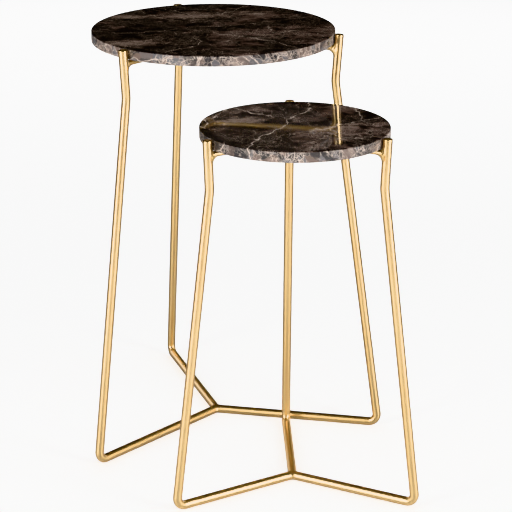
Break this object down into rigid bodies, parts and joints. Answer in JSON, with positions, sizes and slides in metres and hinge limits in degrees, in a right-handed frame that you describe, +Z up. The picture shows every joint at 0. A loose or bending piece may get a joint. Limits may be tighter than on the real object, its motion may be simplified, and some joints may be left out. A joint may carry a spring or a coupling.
{
  "type": "nesting tables",
  "caption": "Pair of round nesting side tables: dark veined marble slabs resting on slim bent-rod tripod frames in satin brass, the smaller sliding under the larger.",
  "frame": {"origin": "on the floor, under the middle of the outline of the two tables as they stand nested", "axes": "+Z up from the floor; -Y is the side that the small table comes out of, and +X is to the right when looking along +Y"},
  "size_m": [0.4676, 0.6128, 0.61],
  "materials": {
    "marble": "polished dark brown marble with pale veins",
    "brass": "satin brushed and lacquered",
    "pad": "clear soft plastic"
  },
  "bodies": {
    "large_frame": {"large_pads": "pad", "large_leg_left": "brass", "large_arm_left": "brass", "large_leg_right": "brass", "large_arm_right": "brass", "large_leg_back": "brass", "large_arm_back": "brass"},
    "large_top": {"large_marble_top": "marble"},
    "small_frame": {"small_pads": "pad", "small_leg_left": "brass", "small_arm_left": "brass", "small_leg_right": "brass", "small_arm_right": "brass", "small_leg_back": "brass", "small_arm_back": "brass"},
    "small_top": {"small_marble_top": "marble"}
  },
  "joints": [
    {"name": "small_table_slide", "type": "slide", "parent": "large_frame", "child": "small_frame", "axis": [0.3173, -0.9483, 0], "range_m": [-0.012, 0.3]},
    {"name": "large_top_lift", "type": "slide", "parent": "large_frame", "child": "large_top", "axis": [0, 0, 1], "range_m": [0, 0.08]},
    {"name": "small_top_lift", "type": "slide", "parent": "small_frame", "child": "small_top", "axis": [0, 0, 1], "range_m": [0, 0.04]}
  ]
}
